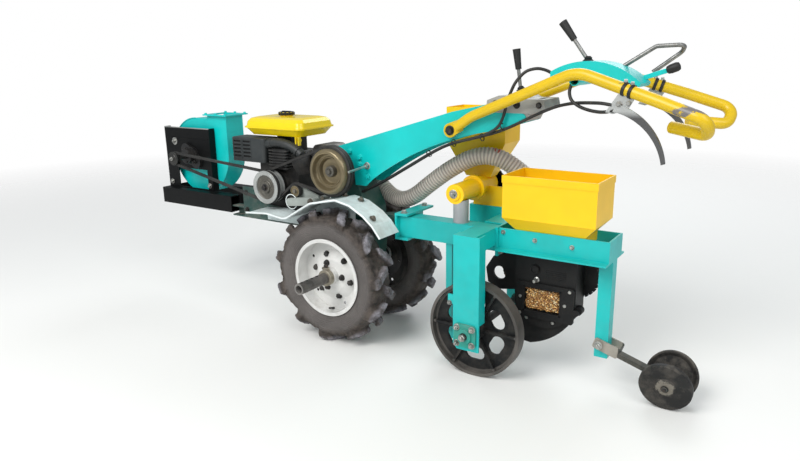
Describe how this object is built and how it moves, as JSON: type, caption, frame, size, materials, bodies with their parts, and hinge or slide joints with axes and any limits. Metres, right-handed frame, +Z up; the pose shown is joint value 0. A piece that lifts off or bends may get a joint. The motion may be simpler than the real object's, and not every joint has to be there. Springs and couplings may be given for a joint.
{
  "type": "single-row seeder",
  "caption": "Walking tractor with a suction fan at the front, long handles and a one-row maize seeder with seed and fertiliser hoppers behind.",
  "frame": {"origin": "on the ground, under the middle of the machine's length and width", "axes": "+X forward, towards the fan; +Y to the machine's left, the side with the gauge wheel; +Z up"},
  "size_m": [2.173, 0.674, 1.0771],
  "materials": {
    "tyre": "matt, dusted with dry soil",
    "white": "satin",
    "green": "satin",
    "teal": "gloss",
    "yellow": "gloss",
    "tank": "gloss",
    "mint": "satin",
    "engine": "black-painted castings, satin",
    "black": "satin",
    "black_plastic": "matt",
    "grey": "satin",
    "khaki": "matt",
    "belt": "matt",
    "steel": "worn",
    "cast": "worn by the soil",
    "chain": "oily",
    "grey_plastic": "satin",
    "hose": "ribbed, matt",
    "window": "clear"
  },
  "bodies": {
    "chassis": {"gearbox": "green", "engine_rails": "green", "drawbar": "green", "engine_block": "engine", "cylinder_head": "engine", "fuel_tank": "tank", "air_cleaner": "black_plastic", "air_duct": "black_plastic", "recoil_cover": "engine", "silencer": "steel", "engine_pulley": "grey", "gearbox_pulley": "khaki", "fan_shaft": "grey", "tensioner": "mint", "drive_belt": "belt", "fan_belt": "belt", "fan_base": "black", "fan_stand": "black", "fan_housing": "teal", "left_fender": "mint", "beam": "teal", "beam_clamp": "grey", "left_handle": "yellow", "right_handle": "yellow", "console": "teal", "shift_levers": "black", "clutch_loop": "steel", "hand_levers": "steel", "hitch_channel": "teal", "main_tube": "teal", "cross_tube": "teal", "far_channel": "teal", "wheel_leg": "teal", "flange_bearings": "grey", "hopper_rails": "teal", "rear_leg": "teal", "seed_hopper": "yellow", "seed_meter": "black_plastic", "meter_window": "window", "seed_gear": "black_plastic", "opener": "black", "fert_meter": "yellow", "fert_hopper": "yellow", "fert_pipe": "grey_plastic", "fert_shank": "teal", "fert_chain": "chain", "sprockets": "chain", "hose": "hose", "cables": "black_plastic"},
    "left_drive_wheel": {"left_tyre": "tyre", "left_wheel": "white"},
    "right_drive_wheel": {"right_tyre": "tyre", "right_wheel": "white"},
    "gauge_wheel_body": {"gauge_wheel": "cast"},
    "press_arm_body": {"press_arm": "teal"},
    "left_press_wheel_body": {"left_press_wheel": "cast"},
    "right_press_wheel_body": {"right_press_wheel": "cast"}
  },
  "joints": [
    {"name": "left_drive_wheel_spin", "type": "hinge", "parent": "chassis", "child": "left_drive_wheel", "pos_m": [0.106, 0.155, 0.24], "axis": [0, 1, 0], "continuous": true},
    {"name": "right_drive_wheel_spin", "type": "hinge", "parent": "chassis", "child": "right_drive_wheel", "pos_m": [0.106, -0.155, 0.24], "axis": [0, 1, 0], "continuous": true},
    {"name": "gauge_wheel_spin", "type": "hinge", "parent": "chassis", "child": "gauge_wheel_body", "pos_m": [-0.45, 0.136, 0.154], "axis": [0, 1, 0], "continuous": true},
    {"name": "press_arm_float", "type": "hinge", "parent": "chassis", "child": "press_arm_body", "pos_m": [-0.805, 0.018, 0.138], "axis": [0, 1, 0], "range_deg": [-12, 20]},
    {"name": "left_press_wheel_spin", "type": "hinge", "parent": "press_arm_body", "child": "left_press_wheel_body", "pos_m": [-1.01, 0.064, 0.07348], "axis": [0, 0.9781, -0.2079], "continuous": true},
    {"name": "right_press_wheel_spin", "type": "hinge", "parent": "press_arm_body", "child": "right_press_wheel_body", "pos_m": [-1.01, -0.02, 0.07348], "axis": [0, -0.9781, -0.2079], "continuous": true}
  ]
}
